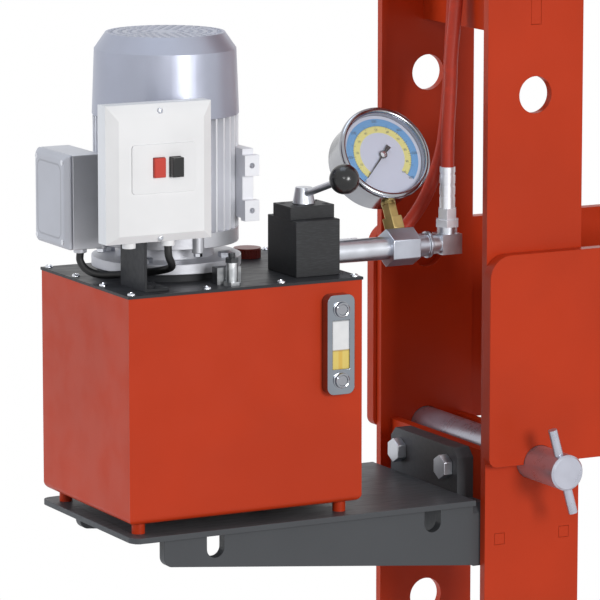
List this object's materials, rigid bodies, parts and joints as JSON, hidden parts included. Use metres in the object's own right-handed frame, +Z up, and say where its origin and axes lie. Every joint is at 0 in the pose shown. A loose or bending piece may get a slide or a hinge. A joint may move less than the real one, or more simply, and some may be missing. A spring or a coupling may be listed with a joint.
{
  "type": "hydraulic press",
  "caption": "Upright workshop press: plate columns with a pinned bed under a hydraulic ram, and a tank-top motor, valve and gauge unit on a side shelf.",
  "frame": {"origin": "on the floor, midway between the column pairs and midway between front and rear columns, at the centre of the floor bolt pattern", "axes": "+Z up; -Y is the front, where the bed pins are pulled; the power unit is on the -X side"},
  "size_m": [1.3954, 0.7, 1.82],
  "materials": {
    "red_paint": "gloss",
    "shelf_paint": "satin",
    "black_paint": "satin",
    "steel": "satin",
    "bright_chrome": "polished",
    "motor_grey": "satin",
    "white_plastic": "satin",
    "red_plastic": "gloss",
    "black_plastic": "gloss",
    "cap_plastic": "matte",
    "brass": "satin",
    "clear": "polished",
    "hose_rubber": "matte",
    "lead_rubber": "matte"
  },
  "bodies": {
    "frame": {"column_front_left": "red_paint", "column_rear_left": "red_paint", "column_front_right": "red_paint", "column_rear_right": "red_paint", "column_ties": "red_paint", "foot_left": "red_paint", "foot_right": "red_paint", "base_beam": "red_paint", "crosshead_front": "red_paint", "crosshead_rear": "red_paint", "crosshead_spacers": "red_paint", "cylinder_mount": "red_paint", "tank": "red_paint", "shelf_plate": "shelf_paint", "shelf_frame": "shelf_paint", "cylinder_barrel": "black_paint", "tank_lid": "black_paint", "pump": "black_paint", "switch_bracket": "black_paint", "valve_body": "black_paint", "valve_cap": "black_paint", "frame_bolts": "steel", "cylinder_gland": "steel", "tank_screws": "steel", "relief_valve": "steel", "pressure_tube": "steel", "tee": "steel", "elbow": "steel", "hose_fittings": "steel", "sight_glass_frame": "bright_chrome", "gauge_case": "bright_chrome", "motor_flange": "motor_grey", "motor_housing": "motor_grey", "fan_cowl": "motor_grey", "terminal_box": "motor_grey", "terminal_box_lid": "motor_grey", "switch_box": "white_plastic", "gauge_dial": "white_plastic", "gauge_adapter": "brass", "gauge_glass": "clear", "sight_glass_window": "clear", "hose_a": "hose_rubber", "hose_b": "hose_rubber", "motor_lead": "lead_rubber"},
    "ram": {"ram_rod": "bright_chrome", "ram_nose": "black_paint"},
    "bed": {"bed_front": "red_paint", "bed_rear": "red_paint", "bed_spacers": "red_paint", "bed_bolts": "steel"},
    "left_pin": {"left_pin": "steel"},
    "right_pin": {"right_pin": "steel"},
    "rotor": {"motor_shaft": "steel", "motor_fan": "black_plastic"},
    "lever": {"valve_lever": "steel", "lever_knob": "black_plastic"},
    "needle": {"gauge_needle": "black_plastic"},
    "stop_button": {"stop_button": "red_plastic"},
    "start_button": {"start_button": "black_plastic"},
    "filler_cap": {"filler_cap": "cap_plastic"}
  },
  "joints": [
    {"name": "ram_slide", "type": "slide", "parent": "frame", "child": "ram", "axis": [0, 0, -1], "range_m": [0, 0.18]},
    {"name": "bed_slide", "type": "slide", "parent": "frame", "child": "bed", "axis": [0, 0, 1], "range_m": [0, 0.2]},
    {"name": "left_pin_slide", "type": "slide", "parent": "frame", "child": "left_pin", "axis": [0, -1, 0], "range_m": [0, 0.3]},
    {"name": "right_pin_slide", "type": "slide", "parent": "frame", "child": "right_pin", "axis": [0, -1, 0], "range_m": [0, 0.3]},
    {"name": "rotor_spin", "type": "hinge", "parent": "frame", "child": "rotor", "pos_m": [-0.779, 0.0235, 1.1], "axis": [0, 0, 1], "continuous": true},
    {"name": "lever_turn", "type": "hinge", "parent": "frame", "child": "lever", "pos_m": [-0.65275, -0.052, 1.06], "axis": [0, 0, 1], "range_deg": [-45, 45]},
    {"name": "needle_turn", "type": "hinge", "parent": "frame", "child": "needle", "pos_m": [-0.536, -0.0012, 1.09249], "axis": [0, 0.866, -0.5], "range_deg": [0, 270], "stiffness_Nm_per_rad": 0.002},
    {"name": "stop_button_push", "type": "slide", "parent": "frame", "child": "stop_button", "axis": [0, 1, 0], "range_m": [0, 0.003], "stiffness_N_per_m": 600},
    {"name": "start_button_push", "type": "slide", "parent": "frame", "child": "start_button", "axis": [0, 1, 0], "range_m": [0, 0.003], "stiffness_N_per_m": 600},
    {"name": "filler_cap_turn", "type": "hinge", "parent": "frame", "child": "filler_cap", "pos_m": [-0.662, 0.0625, 0.99], "axis": [0, 0, 1], "range_deg": [0, 360]}
  ]
}
